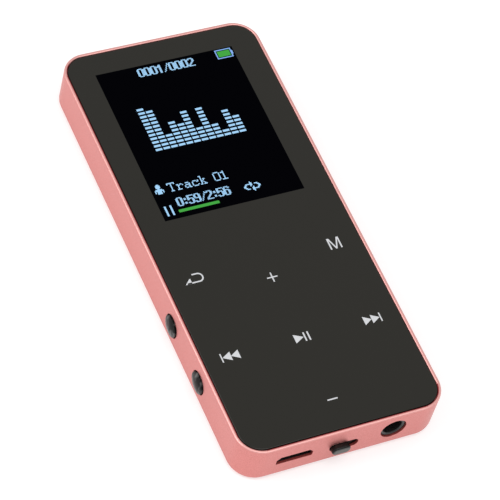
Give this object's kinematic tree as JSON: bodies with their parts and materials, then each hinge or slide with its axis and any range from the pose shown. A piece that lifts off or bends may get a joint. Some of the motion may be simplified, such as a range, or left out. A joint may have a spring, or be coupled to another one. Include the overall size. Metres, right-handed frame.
{
  "type": "digital audio player",
  "caption": "Slim pocket audio player: round-cornered metal case, full glass front with a colour display and touch keys, side buttons, power slider, charging and audio sockets.",
  "frame": {"origin": "centre of the flat rear face, on the plane the player lies on", "axes": "+X across the width, +Y along the length from the socket end to the display end, +Z out of the front glass; the side buttons are on the -X wall and the sockets and power slider on the -Y wall"},
  "size_m": [0.0406, 0.0923, 0.009],
  "materials": {
    "anodised_metal": "satin",
    "front_glass": "gloss",
    "black_tape": "matte",
    "amber_film": "satin",
    "white_plastic": "matte",
    "lcd_glass": "gloss",
    "circuit_board": "satin",
    "plated_steel": "satin",
    "chip_black": "matte",
    "component_ceramic": "matte",
    "foil_pouch": "satin",
    "lead_red": "satin",
    "lead_black": "satin",
    "button_black": "gloss",
    "switch_white": "satin",
    "contact_gold": "polished"
  },
  "bodies": {
    "player": {"battery_cell": "foil_pouch", "battery_lead_black": "lead_black", "battery_lead_red": "lead_red", "battery_protection_board": "circuit_board", "battery_tape": "black_tape", "board_screws": "plated_steel", "body_frame": "anodised_metal", "chip_components": "component_ceramic", "clock_crystal": "component_ceramic", "flash_chip": "chip_black", "front_lens": "front_glass", "inner_chassis": "white_plastic", "jack_contacts": "contact_gold", "jack_housing": "chip_black", "lcd_backlight": "white_plastic", "lcd_connector": "chip_black", "lcd_flex": "amber_film", "lcd_gasket": "black_tape", "lcd_panel": "lcd_glass", "lens_adhesive": "black_tape", "main_board": "circuit_board", "power_chip": "chip_black", "processor_chip": "chip_black", "rear_cover": "anodised_metal", "rear_cover_screws": "plated_steel", "slide_switch_can": "plated_steel", "touch_connector": "chip_black", "touch_sensor": "amber_film", "usb_contacts": "contact_gold", "usb_shell": "plated_steel", "usb_tongue": "chip_black", "volume_down_switch": "chip_black", "volume_up_switch": "chip_black"},
    "volume_up": {"volume_up_button": "button_black", "volume_up_plunger": "switch_white"},
    "volume_down": {"volume_down_button": "button_black", "volume_down_plunger": "switch_white"},
    "power_switch": {"power_slider": "button_black", "slide_switch_lever": "switch_white"}
  },
  "joints": [
    {"name": "volume_up_press", "type": "slide", "parent": "player", "child": "volume_up", "axis": [1, 0, 0], "range_m": [0, 0.0003], "stiffness_N_per_m": 2000, "springref_m": -0.0002},
    {"name": "volume_down_press", "type": "slide", "parent": "player", "child": "volume_down", "axis": [1, 0, 0], "range_m": [0, 0.0003], "stiffness_N_per_m": 2000, "springref_m": -0.0002},
    {"name": "power_slide", "type": "slide", "parent": "player", "child": "power_switch", "axis": [1, 0, 0], "range_m": [0, 0.0017]}
  ]
}
